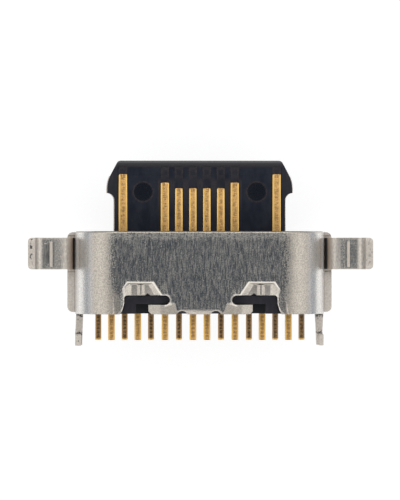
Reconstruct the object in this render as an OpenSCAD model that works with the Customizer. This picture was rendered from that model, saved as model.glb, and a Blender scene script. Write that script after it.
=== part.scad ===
// Reversible charging port of a phone, sixteen contacts, sunk half way into its board.
// It lies on the flat outer face of its bracket. The plug side is +Y, the board side is +Z.

/* [Piece] */
// Piece to draw, or all of them

/* [Front shell] */
// Outside width of the drawn tube
shell_w = 8.94; // [8.8:0.01:9.08]
// Outside height of the drawn tube
shell_h = 3.16; // [3.1:0.01:3.22]
// Sheet thickness of the tube
shell_wall = 0.3; // [0.27:0.01:0.32]
// Front rim of the tube, from the middle of the part
shell_front = 0.77; // [0.7:0.01:0.9]
// Rear edge of the tube, behind the middle of the part
shell_rear = 2.18; // [2.14:0.01:2.22]
// Rounding of both edges of the front rim
rim_round = 0.08; // [0.04:0.01:0.12]

/* [Cut-outs over the insulator] */
// Length of the opening, from the front edge of the slot to the rear edge
hook_len = 0.67; // [0.64:0.01:0.7]
// Width of the slot
slot_w = 0.335; // [0.32:0.005:0.35]
// Reach of the slot beyond the inner edge of the opening
slot_reach = 0.8; // [0.75:0.01:0.85]
// Width of the opening behind the slot
hook_w = 0.82; // [0.79:0.01:0.85]
// Flat metal left beside the opening
hook_margin = 0.17; // [0.14:0.01:0.2]
// Rounding of the outer front corner of the opening
hook_round = 0.11; // [0.08:0.01:0.13]
// How far the outer edge spreads at the rear
hook_flare = 0.15; // [0.08:0.01:0.17]
// How far it has spread halfway
flare_mid = 0.05; // [0.02:0.01:0.06]
// Length of that spread
flare_len = 0.34; // [0.28:0.01:0.38]
// Bend radius inside the locking finger
finger_bend = 0.12; // [0.08:0.01:0.16]
// Angle of the locking finger
finger_turn = 20; // [16:1:22]
// How much shorter the finger is than the reach of the slot
finger_gap = 0.15; // [0.12:0.01:0.17]
// Corner break at the free end of the finger
finger_break = 0.1; // [0.05:0.01:0.13]

/* [Dents in front of the slots] */
// How far the dent reaches out past the opening
dent_spread = 0.05; // [0.03:0.01:0.07]
// Width of the dent at its front edge
dent_w = 1.11; // [1.07:0.01:1.15]
// Length of the dent, from its front edge to the slot
dent_len = 0.47; // [0.44:0.01:0.5]
// Angle by which the inner side opens to the rear
dent_turn = 33; // [32:1:34]
// Length of the front slope
front_slope = 0.1; // [0.07:0.01:0.13]
// Width of the outer slope
outer_slope = 0.3; // [0.26:0.01:0.33]
// Width of the inner slope
inner_slope = 0.22; // [0.18:0.01:0.25]
// Corner cut off at the outer front end of the dent
corner_cut = 0.14; // [0.1:0.01:0.17]
// Depth of the dent
dent_depth = 0.15; // [0.12:0.01:0.17]
// Middle of the rib, from the outer edge of the dent floor
rib_inset = 0.34; // [0.32:0.01:0.36]
// Width of the rib at its foot
rib_foot = 0.26; // [0.22:0.01:0.28]
// Width of the rib at its top
rib_top = 0.08; // [0.06:0.01:0.1]
// Height of the rib
rib_h = 0.07; // [0.05:0.01:0.09]

/* [Rear lip] */
// Middle of the lip, across the centre line
lip_x = -0.067; // [-0.08:0.001:-0.05]
// Half width of the lip at its bend
lip_bend_half = 0.655; // [0.63:0.005:0.68]
// Half width of the lip at the rear edge
lip_edge_half = 0.92; // [0.88:0.01:0.95]
// Length of the lip
lip_len = 0.2; // [0.16:0.01:0.24]
// How far the lip is pressed in
lip_drop = 0.09; // [0.06:0.01:0.11]
// Distance between the two rear notches
notch_gap = 1.197; // [1.15:0.01:1.25]
// Radius of a rear notch
notch_r = 0.196; // [0.18:0.002:0.21]
// Depth of a rear notch
notch_depth = 0.125; // [0.1:0.005:0.14]

/* [Rear legs of the shell] */
// Thickness of a rear leg
leg_sheet = 0.25; // [0.22:0.01:0.27]
// How much thinner the solder end is
leg_thin = 0.04; // [0.02:0.01:0.06]
// How far the legs sit inside the side of the shell
leg_inset = 0.05; // [0.02:0.01:0.06]
// How far the legs reach behind the shell
leg_reach = 1.12; // [1.02:0.01:1.2]
// Overlap of a leg with the rear edge of the shell
leg_root = 0.04; // [0.03:0.005:0.05]
// Height of the back arm of a leg
leg_arm_h = 0.74; // [0.66:0.01:0.8]
// Width of the solder end of a leg
leg_tip_w = 0.41; // [0.36:0.01:0.46]
// Fillet between arm and solder end
leg_fillet = 0.16; // [0.1:0.01:0.2]
// Corner break at the solder end
leg_break = 0.06; // [0.03:0.01:0.08]
// How far the rear legs reach past the board seat
leg_rise = 0.5; // [0.45:0.01:0.6]

/* [Outer bracket] */
// Sheet thickness of the bracket
bracket_sheet = 0.25; // [0.22:0.01:0.27]
// Play between bracket and shell at the sides
side_play = 0.02; // [0.01:0.005:0.04]
// How far the front edge of the bracket stays behind the rim of the shell
front_step = 0.03; // [0.01:0.01:0.1]
// How far its rear edge stays in front of the rear edge of the shell
rear_step = 0.06; // [0.03:0.01:0.1]
// Height of the side walls above the middle of the shell
wall_rise = 0.1; // [0.09:0.01:0.14]
// Rounding of the four corners of the bracket, seen from above
corner_round = 0.2; // [0.12:0.01:0.23]
// Front edge of a wing, behind the front edge of the bracket
wing_step = 0.2; // [0.15:0.01:0.25]
// Length of a wing along the part
wing_len = 1.13; // [1.07:0.01:1.17]
// Height of the board seat above the middle of the shell
seat_rise = 0.57; // [0.55:0.01:0.61]
// Outer radius of the bend from wall to wing
wing_bend = 0.5; // [0.46:0.01:0.52]
// Width of the flat seat of a wing
seat_w = 0.61; // [0.58:0.01:0.66]
// Inner radius of the bend from wing to leg
foot_bend = 0.27; // [0.22:0.01:0.32]
// How far the legs of the wings reach past the board seat
foot_rise = 0.9; // [0.85:0.01:0.97]
// Corner rounding of a wing leg
foot_round = 0.18; // [0.1:0.01:0.25]
// Width of a bend relief beside a wing
relief_w = 0.09; // [0.06:0.01:0.12]
// Depth of a bend relief
relief_depth = 0.07; // [0.04:0.01:0.08]
// Depth of the coined marks on a wing
coin_depth = 0.025; // [0.015:0.005:0.04]
// Place of the coined groove on the seat
groove_inset = 0.25; // [0.21:0.01:0.27]
// Width of the coined groove
groove_w = 0.1; // [0.08:0.01:0.11]
// Length of the coined groove
groove_len = 0.93; // [0.85:0.01:0.98]
// Flat land between the groove and the coined field
field_gap = 0.06; // [0.05:0.01:0.08]
// Length of the coined field
field_len = 0.7; // [0.6:0.01:0.8]

/* [Tongue] */
// How far the tongue stands out of the shell
tongue_reach = 2.53; // [2.48:0.01:2.58]
// Thickness of the tongue
tongue_t = 0.7; // [0.68:0.01:0.72]
// Room for the plug between the head and the inside of the shell
plug_room = 0.86; // [0.84:0.005:0.88]
// How far the neck is narrower than the head
latch_depth = 0.26; // [0.24:0.005:0.28]
// How far the tip is narrower than the head
nose_taper = 0.405; // [0.38:0.005:0.43]
// Rounding of the corners at the tip
nose_round = 0.16; // [0.12:0.01:0.2]
// Rounding where the nose widens to the head
cheek_round = 1.07; // [0.95:0.01:1.15]
// Where the head reaches its width, from the tip
cheek_len = 1; // [0.97:0.01:1.05]
// Length of the head, from the tip
head_len = 1.16; // [1.14:0.01:1.19]
// Length of the bevel at the nose
nose_run = 0.19; // [0.15:0.01:0.22]
// Depth of the bevel at the nose
nose_drop = 0.15; // [0.12:0.01:0.18]
// Length of its steep front part
edge_run = 0.05; // [0.03:0.01:0.07]
// Depth of its steep front part
edge_drop = 0.09; // [0.07:0.01:0.1]
// Thickness of the tongue root
root_t = 1.2; // [1.16:0.01:1.26]
// Length of the tongue root in front of the base
root_len = 1.3; // [1.25:0.01:1.35]
// How far the root is narrower than the neck on each side
root_step = 0.07; // [0.04:0.01:0.1]

/* [Insulator base] */
// Length of the base
base_len = 1.06; // [1.02:0.01:1.08]
// How far the base stays inside the rear edge of the shell
base_step = 0.02; // [0.01:0.01:0.05]
// Play between base and shell
base_play = 0.01; // [0.005:0.005:0.02]
// Play around the parts seen in the cut-outs
edge_play = 0.02; // [0.01:0.005:0.03]
// Width of the raised block in the opening
block_w = 0.42; // [0.39:0.01:0.45]
// How far block and bar stay under the shell face
block_sink = 0.17; // [0.14:0.01:0.2]
// Width of the raised bar in the slot
bar_w = 0.28; // [0.26:0.01:0.29]
// Depth of the pocket under the finger, from the inside of the shell
pocket_depth = 0.42; // [0.4:0.01:0.46]
// Play in front of that pocket
pocket_play = 0.03; // [0.02:0.005:0.04]

/* [Carriers] */
// Front end of the carriers, from the tip of the tongue
carrier_step = 0.5; // [0.48:0.01:0.52]
// Rear end of the carriers, inside the base
carrier_cover = 0.56; // [0.54:0.01:0.59]
// Insulator left on each side of the carriers
carrier_edge = 0.1; // [0.09:0.005:0.12]
// Place of the round marks, from the centre line
mark_x = 2.03; // [2:0.01:2.06]
// Place of the round marks, from the tip of the tongue
mark_step = 1.12; // [1.09:0.01:1.15]
// Radius of the round marks
mark_r = 0.34; // [0.3:0.01:0.36]
// Depth of the round marks and of the nose pockets
mark_depth = 0.025; // [0.015:0.005:0.04]
// Width of a nose pocket
pocket_w = 0.3; // [0.27:0.01:0.32]
// Length of a nose pocket
pocket_len = 0.19; // [0.15:0.01:0.2]

/* [Stiffener plate] */
// Thickness of the plate
plate_t = 0.15; // [0.12:0.01:0.17]
// How far the plate stands out at the sides of the tongue
plate_proud = 0.035; // [0.02:0.005:0.05]
// Front edge of the plate, from the tip of the tongue
plate_step = 0.55; // [0.5:0.01:0.6]
// How far the plate ends in front of the carriers at the rear
plate_short = 0.1; // [0.05:0.01:0.15]

/* [Ground pads] */
// Thickness of a ground pad
pad_t = 0.1; // [0.08:0.01:0.12]
// Root left on each side of a ground pad
pad_edge = 0.28; // [0.2:0.01:0.36]
// Front end of a ground pad, behind the front of the root
pad_step = 0.08; // [0.06:0.01:0.12]
// Height of the rear flange of a ground pad
pad_flange = 0.3; // [0.25:0.01:0.32]

/* [Contacts] */
// Pitch of the inner contacts on the tongue
contact_pitch = 0.5; // [0.48:0.005:0.5]
// Middle of a ground contact, from the side of the head
ground_edge = 0.56; // [0.54:0.01:0.58]
// Middle of the outermost solder tail, from the side of the shell
tail_edge = 0.84; // [0.82:0.01:0.88]
// Sheet thickness of the contacts
contact_t = 0.15; // [0.13:0.01:0.16]
// How far the contacts stand out of the tongue face
contact_proud = 0.02; // [0.01:0.005:0.03]
// Width of a signal contact
signal_w = 0.27; // [0.25:0.01:0.29]
// Width of a power or ground contact
power_w = 0.3; // [0.28:0.01:0.33]
// Front end of the ground contacts, from the tip of the tongue
ground_step = 0.46; // [0.44:0.01:0.48]
// Front end of the power contacts, from the tip of the tongue
power_step = 0.76; // [0.72:0.01:0.8]
// Front end of the signal contacts, from the tip of the tongue
signal_step = 0.96; // [0.92:0.01:1]
// Dip at the front end of a contact
dip = 0.08; // [0.06:0.01:0.09]
// Width of the upper solder tails
upper_tail_w = 0.24; // [0.22:0.01:0.25]
// Width of the lower solder tails
lower_tail_w = 0.21; // [0.18:0.01:0.22]
// How far the solder tails reach behind the shell
tail_reach = 0.935; // [0.87:0.005:0.97]
// Where the contacts start to spread, behind the front of the root
fan_step = 0.25; // [0.22:0.01:0.28]
// Where the contacts bend inwards again, in front of the base
fan_lead = 0.05; // [0.03:0.01:0.08]
// Where the contacts have spread, inside the base
fan_len = 0.45; // [0.43:0.01:0.47]
// Length over which the upper contacts rise to the board
upper_rise = 0.35; // [0.32:0.01:0.38]
// Length over which the lower contacts rise to the board
lower_rise = 0.4; // [0.37:0.01:0.43]

/* [Hidden] */
$fn = 48;
half_share = 0.5;
quarter_turn = 90;
half_turn = 180;
side_axis = [1, 0, 0];
up_axis = [0, 0, 1];
flat_side_axis = [1, 0];
flat_up_axis = [0, 1];
// Overrun of every cut
over = 0.2;
shell_len = shell_front + shell_rear;
outer_r = shell_h * half_share;
inner_r = outer_r - shell_wall;
flat_half = shell_w * half_share - outer_r;
mid_z = bracket_sheet + outer_r;
shell_top = bracket_sheet + shell_h;
shell_inside = shell_top - shell_wall;
slot_front = shell_rear - hook_len;
slot_rear = slot_front + slot_w;
slot_mid = slot_front + slot_w * half_share;
hook_out = flat_half - hook_margin;
hook_in = hook_out - hook_w;
slot_in = hook_in - slot_reach;
finger_len = slot_reach - finger_gap;
dent_out = hook_out + dent_spread;
dent_in = dent_out - dent_w;
dent_front = slot_front - dent_len;
floor_front = dent_front + front_slope;
floor_out = dent_out - outer_slope;
rib_x = floor_out - rib_inset;
leg_rear = shell_rear + leg_reach;
leg_out = shell_w * half_share - leg_inset;
leg_in = leg_out - leg_sheet;
bracket_front = shell_front - front_step;
bracket_rear = shell_rear - rear_step;
hug_x = flat_half + side_play;
wall_in = hug_x + outer_r;
wall_out = wall_in + bracket_sheet;
wing_front = bracket_front - wing_step;
wing_rear = wing_len - wing_front;
seat_z = mid_z + seat_rise;
wing_x = wall_in + wing_bend;
wing_z = seat_z - wing_bend;
seat_out = wing_x + seat_w;
foot_in = seat_out + foot_bend;
foot_out = foot_in + bracket_sheet;
groove_in = wing_x + groove_inset;
field_in = groove_in + groove_w + field_gap;
foot_top = seat_z + foot_rise;
leg_top = seat_z + leg_rise;
tip_y = shell_front + tongue_reach;
head_half = shell_w * half_share - shell_wall - plug_room;
neck_half = head_half - latch_depth;
nose_half = head_half - nose_taper;
head_front = tip_y - cheek_len;
head_rear = tip_y - head_len;
base_rear = shell_rear - base_step;
base_front = base_rear - base_len;
root_front = root_len - base_front;
root_half = neck_half - root_step;
block_in = hook_out - block_w;
carrier_front = tip_y - carrier_step;
carrier_rear = base_rear - carrier_cover;
carrier_half = neck_half - carrier_edge;
mark_y = tip_y - mark_step;
plate_front = tip_y - plate_step;
plate_rear = carrier_rear - plate_short;
pad_front = root_front - pad_step;
pad_half = root_half - pad_edge;
tongue_half = tongue_t * half_share;
root_rise = root_t * half_share;
plate_half = plate_t * half_share;
nose_z = mid_z + tongue_half;
tail_z = seat_z - contact_t * half_share;
contact_rise = tongue_half + contact_proud - contact_t * half_share;
block_top = shell_top - block_sink;
ground_place = head_half - ground_edge;
tail_rear = shell_rear + tail_reach;
fan_start = fan_step - root_front;
fan_mid = base_front - fan_lead;
fan_end = base_front + fan_len;
inner_signal = 0;
outer_signal = 1;
power = 2;
ground = 3;
upward = 1;
downward = -1;
// Steps between neighbours in a list
link = 1;
// Places of the four contacts on a side, from the centre line outwards
inner_place_shares = [0.5, 1.5, 2.5];
inner_places = [for (share = inner_place_shares) share * contact_pitch];
places = concat(inner_places, [ground_place]);
mid_shares = [0.35, 0.35, 0.35, 0];
// Places of the solder tails, in inner and in outer pitches
upper_inner_shares = [0.5, 2.5, 3.5, 3.5];
upper_outer_shares = [0, 0, 1, 3];
lower_inner_shares = [1.5, 3.5, 3.5, 3.5];
lower_outer_shares = [0, 0, 2, 4];
inner_reach = lower_inner_shares[ground] * contact_pitch;
outer_pitch = (shell_w * half_share - tail_edge - inner_reach) / lower_outer_shares[ground];
contact_ws = [signal_w, signal_w, power_w, power_w];
contact_steps = [signal_step, signal_step, power_step, ground_step];

// Runs a side view, drawn as length and height, across the part
module across(from_x, to_x) {
  translate([from_x, 0, 0])
    rotate([quarter_turn, 0, quarter_turn])
      linear_extrude(height = to_x - from_x)
        children();
}

// Runs a front view, drawn as width and height, along the part
module along(from_y, to_y) {
  translate([0, to_y, 0])
    rotate([quarter_turn, 0, 0])
      linear_extrude(height = to_y - from_y)
        children();
}

// Raises a plan view
module raised(from_z, to_z) {
  translate([0, 0, from_z])
    linear_extrude(height = to_z - from_z)
      children();
}

// Rectangle between two corners
module field(low, high) {
  translate(low)
    square(high - low);
}

// Copies a right hand form to the left
module both_sides() {
  children();
  mirror(side_axis)
    children();
}

// Quarter bend of a strip, drawn about the origin from the first to the second axis
module quarter_bend(inside, sheet) {
  intersection() {
    difference() {
      circle(r = inside + sheet);
      circle(r = inside);
    }
    square(inside + sheet + over);
  }
}

// Strip of even thickness along a line of points, rounded at its corners
module strip(points, sheet) {
  for (i = [link : len(points) - link]) {
    step = points[i] - points[i - link];
    translate(points[i - link])
      rotate(atan2(step.y, step.x))
        translate([0, -sheet * half_share])
          square([norm(step), sheet]);
    if (i < len(points) - link)
      translate(points[i])
        circle(d = sheet);
  }
}

// Outline of the shell at a given radius
module track(radius) {
  field([-flat_half, -radius], [flat_half, radius]);
  translate([flat_half, 0])
    circle(r = radius);
  translate([-flat_half, 0])
    circle(r = radius);
}

// Wall of the shell, cut from inside to outside, with the rounded front rim
module wall_section() {
  field([inner_r, -shell_rear], [outer_r, shell_front - rim_round]);
  field([inner_r + rim_round, -shell_rear], [outer_r - rim_round, shell_front]);
  translate([inner_r + rim_round, shell_front - rim_round])
    circle(r = rim_round);
  translate([outer_r - rim_round, shell_front - rim_round])
    circle(r = rim_round);
}

module shell_flat() {
  rotate([0, -quarter_turn, 0])
    linear_extrude(height = flat_half + flat_half, center = true)
      wall_section();
}

module shell_tube() {
  translate([0, 0, mid_z]) {
    both_sides()
      translate([flat_half, 0, 0])
        rotate([-quarter_turn, 0, 0])
          rotate([0, 0, -quarter_turn])
            rotate_extrude(angle = half_turn)
              wall_section();
    shell_flat();
    mirror(up_axis)
      shell_flat();
  }
}

// Everything inside one slope of a dent, whose upper edge starts at a given place
module inside_slope(start, turn, slope, top_z, play) {
  floor_z = top_z - dent_depth - play;
  translate(start)
    rotate(turn)
      along(-shell_w, shell_w)
        polygon([
          [-play, top_z + over],
          [-play, top_z],
          [slope - play, floor_z],
          [shell_w, floor_z],
          [shell_w, top_z + over]
        ]);
}

// Pressed form of a dent, drawn down from a given height
module dent_form(top_z, play) {
  corner_start = [dent_out - corner_cut, -dent_front];
  intersection() {
    raised(top_z - dent_depth - play, top_z + over)
      field([slot_in, -slot_mid], [dent_out + over, over - dent_front]);
    inside_slope([dent_in, -dent_front], -quarter_turn, front_slope, top_z, play);
    inside_slope([dent_in, -dent_front], -dent_turn, inner_slope, top_z, play);
    inside_slope(corner_start, dent_turn - half_turn, outer_slope * half_share, top_z, play);
    inside_slope([dent_out, -dent_front], -half_turn, outer_slope, top_z, play);
  }
}

// Metal under a dent, ending at the front edge of the slot
module dent_back() {
  intersection() {
    dent_form(shell_inside, 0);
    raised(shell_inside - dent_depth - over, shell_inside + shell_wall * half_share)
      field([slot_in, -slot_front], [dent_out, 0]);
  }
}

module dent_rib() {
  foot_z = shell_top - dent_depth;
  along(-slot_front, -floor_front)
    polygon([
      [rib_x - rib_foot * half_share, foot_z - shell_wall * half_share],
      [rib_x + rib_foot * half_share, foot_z - shell_wall * half_share],
      [rib_x + rib_foot * half_share, foot_z],
      [rib_x + rib_top * half_share, foot_z + rib_h],
      [rib_x - rib_top * half_share, foot_z + rib_h],
      [rib_x - rib_foot * half_share, foot_z]
    ]);
}

// Outer edge of the opening, spreading to the rear, moved inwards by a play
module flare_plan(play) {
  polygon([
    [hook_in + hook_w * half_share, flare_len - shell_rear],
    [hook_out - play, flare_len - shell_rear],
    [hook_out + flare_mid - play, flare_len * half_share - shell_rear],
    [hook_out + hook_flare - play, -shell_rear],
    [hook_out + hook_flare - play, -shell_rear - over],
    [hook_in + hook_w * half_share, -shell_rear - over]
  ]);
}

// Plan of the cut-out with the slot and the room of the finger
module hook_plan() {
  translate([slot_in + slot_w * half_share, -slot_mid])
    circle(d = slot_w);
  field([slot_in + slot_w * half_share, -slot_rear], [hook_out - hook_round, -slot_front]);
  field([hook_in, -shell_rear - over], [hook_out - hook_round, -slot_front]);
  field([hook_in, -shell_rear - over], [hook_out, -slot_front - hook_round]);
  translate([hook_out - hook_round, -slot_front - hook_round])
    circle(r = hook_round);
  field([slot_in, -shell_rear - over], [hook_out - hook_round, -slot_rear]);
  flare_plan(0);
}

// Finger bent down at its root and pointing outwards
module locking_finger() {
  arc_reach = finger_bend + shell_wall + over;
  finger_end = slot_in + finger_len * cos(finger_turn) + (finger_bend + shell_wall) * sin(finger_turn);
  intersection() {
    along(-shell_rear, -slot_rear)
      translate([slot_in, shell_inside - finger_bend]) {
        intersection() {
          difference() {
            circle(r = finger_bend + shell_wall);
            circle(r = finger_bend);
          }
          polygon([[0, 0], [0, arc_reach], [arc_reach * tan(finger_turn), arc_reach]]);
        }
        rotate(-finger_turn)
          field([0, finger_bend], [finger_len, finger_bend + shell_wall]);
      }
    raised(0, shell_top)
      polygon([
        [slot_in, -shell_rear],
        [finger_end - finger_break, -shell_rear],
        [finger_end, finger_break - shell_rear],
        [finger_end, -slot_rear],
        [slot_in, -slot_rear]
      ]);
  }
}

// Wedge between the flat face and the pressed lip, drawn down from a given height
module lip_wedge(top_z, play) {
  bend_y = lip_len - shell_rear + play;
  intersection() {
    across(lip_x - lip_edge_half - over, lip_x + lip_edge_half + over)
      polygon([
        [bend_y, top_z + over],
        [bend_y, top_z],
        [-shell_rear, top_z - lip_drop - play],
        [-shell_rear - over, top_z - lip_drop - play],
        [-shell_rear - over, top_z + over]
      ]);
    raised(top_z - lip_drop - over, top_z + over)
      polygon([
        [lip_x - lip_bend_half - play, bend_y],
        [lip_x + lip_bend_half + play, bend_y],
        [lip_x + lip_edge_half + play, -shell_rear],
        [lip_x + lip_edge_half + play, -shell_rear - over],
        [lip_x - lip_edge_half - play, -shell_rear - over],
        [lip_x - lip_edge_half - play, -shell_rear]
      ]);
  }
}

// Metal under the pressed lip
module lip_back() {
  intersection() {
    lip_wedge(shell_inside, 0);
    translate([lip_x - lip_edge_half, -shell_rear, shell_inside - lip_drop])
      cube([lip_edge_half + lip_edge_half, lip_len, lip_drop + shell_wall * half_share]);
  }
}

module rear_notches() {
  raised(shell_inside - lip_drop - over, shell_top + over)
    for (side = [-half_share, half_share])
      translate([lip_x + side * notch_gap, notch_depth - shell_rear - notch_r])
        circle(r = notch_r);
}

// Flat leg behind the shell, turned up to pass into the board
module rear_leg() {
  arm_low = mid_z - leg_arm_h * half_share;
  arm_high = mid_z + leg_arm_h * half_share;
  tip_front = leg_tip_w - leg_rear;
  across(leg_in, leg_out)
    difference() {
      union() {
        field([leg_tip_w * half_share - leg_rear, arm_low], [leg_root - shell_rear, arm_high]);
        translate([leg_tip_w * half_share - leg_rear, arm_low + leg_tip_w * half_share])
          circle(r = leg_tip_w * half_share);
        field([-leg_rear, arm_low + leg_tip_w * half_share], [tip_front, arm_high]);
        field([tip_front, arm_high], [tip_front + leg_fillet, arm_high + leg_fillet]);
      }
      translate([tip_front + leg_fillet, arm_high + leg_fillet])
        circle(r = leg_fillet);
    }
  across(leg_in + leg_thin, leg_out)
    polygon([
      [-leg_rear, arm_low + leg_tip_w],
      [tip_front, arm_low + leg_tip_w],
      [tip_front, leg_top - leg_break],
      [tip_front - leg_break, leg_top],
      [leg_break - leg_rear, leg_top],
      [-leg_rear, leg_top - leg_break]
    ]);
}

module front_shell() {
  color("silver") {
    difference() {
      union() {
        shell_tube();
        both_sides()
          dent_back();
        lip_back();
      }
      both_sides() {
        dent_form(shell_top, 0);
        raised(shell_inside - over, shell_top + over)
          hook_plan();
      }
      lip_wedge(shell_top, 0);
      rear_notches();
    }
    both_sides() {
      dent_rib();
      locking_finger();
      rear_leg();
    }
  }
}

// Outline of the bracket seen from above, with its corners rounded
module bracket_plan() {
  side_x = wall_out - corner_round;
  field([-side_x, -bracket_rear], [side_x, bracket_front]);
  field([-wall_out, corner_round - bracket_rear], [wall_out, bracket_front - corner_round]);
  for (x = [-side_x, side_x]) {
    translate([x, corner_round - bracket_rear])
      circle(r = corner_round);
    translate([x, bracket_front - corner_round])
      circle(r = corner_round);
  }
}

// Bracket sheet under and beside the shell, seen from the front
module bracket_profile(wall_top) {
  field([-hug_x, 0], [hug_x, bracket_sheet]);
  for (axis = [[0, 0], flat_side_axis])
    mirror(axis) {
      translate([hug_x, mid_z])
        mirror(flat_up_axis)
          quarter_bend(outer_r, bracket_sheet);
      field([wall_in, mid_z], [wall_out, wall_top]);
    }
}

// Wing bent out of the wall, flat on the board and turned up as a leg
module bracket_wing() {
  along(-wing_rear, wing_front) {
    field([wall_in, mid_z], [wall_out, wing_z]);
    translate([wing_x, wing_z])
      mirror(flat_side_axis)
        quarter_bend(wing_bend - bracket_sheet, bracket_sheet);
    field([wing_x, seat_z - bracket_sheet], [seat_out, seat_z]);
    translate([seat_out, seat_z + foot_bend])
      mirror(flat_up_axis)
        quarter_bend(foot_bend, bracket_sheet);
    field([foot_in, seat_z + foot_bend], [foot_out, foot_top - foot_round]);
  }
  across(foot_in, foot_out) {
    field([-wing_rear, seat_z + foot_bend], [wing_front, foot_top - foot_round]);
    field([foot_round - wing_rear, seat_z + foot_bend], [wing_front - foot_round, foot_top]);
    translate([foot_round - wing_rear, foot_top - foot_round])
      circle(r = foot_round);
    translate([wing_front - foot_round, foot_top - foot_round])
      circle(r = foot_round);
  }
}

// Coined marks on the seat of a wing
module wing_marks() {
  wing_mid = (wing_front - wing_rear) * half_share;
  raised(seat_z - coin_depth, seat_z + over) {
    translate([groove_in, wing_mid - groove_len * half_share])
      square([groove_w, groove_len]);
    translate([field_in, wing_mid - field_len * half_share])
      square([seat_out - field_in, field_len]);
  }
}

// Bend reliefs beside a wing, cut into the top of the wall
module wing_reliefs() {
  top_z = mid_z + wall_rise;
  across(wall_in - over, wall_out + over) {
    field([wing_front, top_z - relief_depth], [wing_front + relief_w, top_z + over]);
    field([-wing_rear - relief_w, top_z - relief_depth], [-wing_rear, top_z + over]);
  }
}

module outer_bracket() {
  wall_top = mid_z + wall_rise;
  color("gray")
    difference() {
      union() {
        intersection() {
          along(-bracket_rear, bracket_front)
            bracket_profile(wall_top);
          raised(0, wall_top)
            bracket_plan();
        }
        both_sides()
          bracket_wing();
      }
      both_sides() {
        wing_marks();
        wing_reliefs();
      }
    }
}

// Right half of the tongue seen from above, widened by a given amount
module tongue_half_plan(grow) {
  fillet = head_half - neck_half;
  nose_middle = [nose_half + grow - nose_round * half_share, tip_y - nose_round];
  cheek_middle = [head_half + grow - cheek_round, head_front];
  line = nose_middle - cheek_middle;
  slant = atan2(line.y, line.x) - acos((cheek_round - nose_round) / norm(line));
  away = [cos(slant), sin(slant)];
  polygon([
    [0, -base_front - over],
    [neck_half + grow, -base_front - over],
    [neck_half + grow, head_rear],
    [head_half + grow, head_rear],
    [head_half + grow, head_front],
    cheek_middle + cheek_round * away,
    nose_middle + nose_round * away,
    [nose_middle.x, tip_y],
    [0, tip_y]
  ]);
  translate(nose_middle)
    circle(r = nose_round);
  intersection() {
    translate(cheek_middle)
      circle(r = cheek_round);
    field([0, head_front], [head_half + grow, tip_y - nose_round]);
  }
  translate([neck_half + grow, head_rear - fillet])
    difference() {
      square(fillet);
      translate([fillet, 0])
        circle(r = fillet);
    }
}

module tongue_plan(grow) {
  both_sides()
    tongue_half_plan(grow);
}

// Bevel along the upper edge of the nose
module nose_bevel() {
  across(-head_half, head_half)
    polygon([
      [tip_y - nose_run - over, nose_z + over],
      [tip_y - nose_run, nose_z],
      [tip_y - edge_run, nose_z + edge_drop - nose_drop],
      [tip_y, nose_z - nose_drop],
      [tip_y + over, nose_z - nose_drop],
      [tip_y + over, nose_z + over]
    ]);
}

// Shallow pockets in front of the contacts
module nose_pockets() {
  raised(nose_z - mark_depth, nose_z + over)
    both_sides()
      for (place = places)
        translate([place - pocket_w * half_share, tip_y - nose_run - pocket_len])
          square([pocket_w, pocket_len]);
}

// Copies an upper form to the lower side of the tongue
module both_faces() {
  children();
  translate([0, 0, mid_z])
    mirror(up_axis)
      translate([0, 0, -mid_z])
        children();
}

module root_block() {
  slope = root_rise - tongue_half;
  across(-root_half, root_half)
    polygon([
      [-base_front - over, mid_z - root_rise],
      [root_front, mid_z - root_rise],
      [root_front + slope, mid_z - tongue_half],
      [root_front + slope, mid_z + tongue_half],
      [root_front, mid_z + root_rise],
      [-base_front - over, mid_z + root_rise]
    ]);
}

// Block and bar of the base that stand in the cut-outs of the shell
module raised_parts() {
  block_out = hook_out - edge_play;
  bar_front = slot_front + edge_play;
  raised(mid_z, block_top) {
    field([block_in, -base_rear], [block_out - hook_round, -bar_front]);
    field([block_in, -base_rear], [block_out, -bar_front - hook_round]);
    translate([block_out - hook_round, -bar_front - hook_round])
      circle(r = hook_round);
    translate([slot_in + bar_w * half_share + edge_play, -bar_front - bar_w * half_share])
      circle(d = bar_w);
    field([slot_in + bar_w * half_share + edge_play, -bar_front - bar_w], [block_in, -bar_front]);
    intersection() {
      flare_plan(edge_play);
      field([block_in, -base_rear], [shell_w, 0]);
    }
  }
}

// Room for the finger and the deep recess beside the block
module finger_pocket() {
  raised(shell_inside - pocket_depth, shell_top)
    field([slot_in - edge_play, -base_rear - over], [block_in, -slot_rear + pocket_play]);
}

module base_block() {
  difference() {
    union() {
      along(-base_rear, -base_front)
        translate([0, mid_z])
          track(inner_r - base_play);
      both_sides()
        raised_parts();
    }
    both_sides() {
      finger_pocket();
      intersection() {
        dent_form(shell_inside, edge_play);
        raised(mid_z, shell_top)
          field([slot_in, -slot_front - edge_play], [dent_out + over, 0]);
      }
    }
    lip_wedge(shell_inside, edge_play);
  }
}

module insulator_body() {
  color("dimgray")
    difference() {
      union() {
        raised(mid_z - tongue_half, mid_z + tongue_half)
          tongue_plan(0);
        root_block();
        base_block();
      }
      both_faces() {
        nose_bevel();
        nose_pockets();
        carrier_slab();
      }
      plate_body();
      all_contacts();
    }
}

module carrier_slab() {
  raised(mid_z + plate_half, nose_z)
    field([-carrier_half, -carrier_rear], [carrier_half, carrier_front]);
}

module carrier() {
  difference() {
    carrier_slab();
    both_sides()
      translate([mark_x, mark_y, nose_z - mark_depth])
        cylinder(h = over, r = mark_r);
  }
}

module upper_carrier() {
  color("black")
    difference() {
      carrier();
      both_sides()
        for (i = [inner_signal : ground])
          upper_contact(i);
    }
}

module lower_carrier() {
  color("black")
    difference() {
      translate([0, 0, mid_z])
        mirror(up_axis)
          translate([0, 0, -mid_z])
            carrier();
      both_sides()
        for (i = [inner_signal : ground])
          lower_contact(i);
    }
}

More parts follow.
